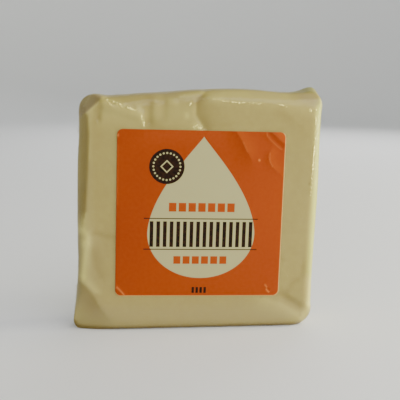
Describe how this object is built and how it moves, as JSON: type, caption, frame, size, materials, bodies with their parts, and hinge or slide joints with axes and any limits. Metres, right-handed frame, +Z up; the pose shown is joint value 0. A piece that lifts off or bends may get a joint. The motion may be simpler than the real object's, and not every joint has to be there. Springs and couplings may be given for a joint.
{
  "type": "vacuum-packed halloumi block",
  "caption": "Flat square block of halloumi in a tight clear film with folded corners, standing on its lower edge, with a square paper label with rounded corners on its front.",
  "frame": {"origin": "on the surface the block stands on, under the middle of the bounding box", "axes": "+X to the right as seen from the front, +Y to the back, away from the label, +Z up"},
  "size_m": [0.1058, 0.0242, 0.1033],
  "materials": {
    "wrapped_cheese": "pale cream-yellow cheese under a clear glossy film",
    "orange_label": "satin orange printed paper with a cream drop and dark print"
  },
  "bodies": {
    "root": {"wrapped_block": "wrapped_cheese", "label": "orange_label"}
  },
  "joints": []
}
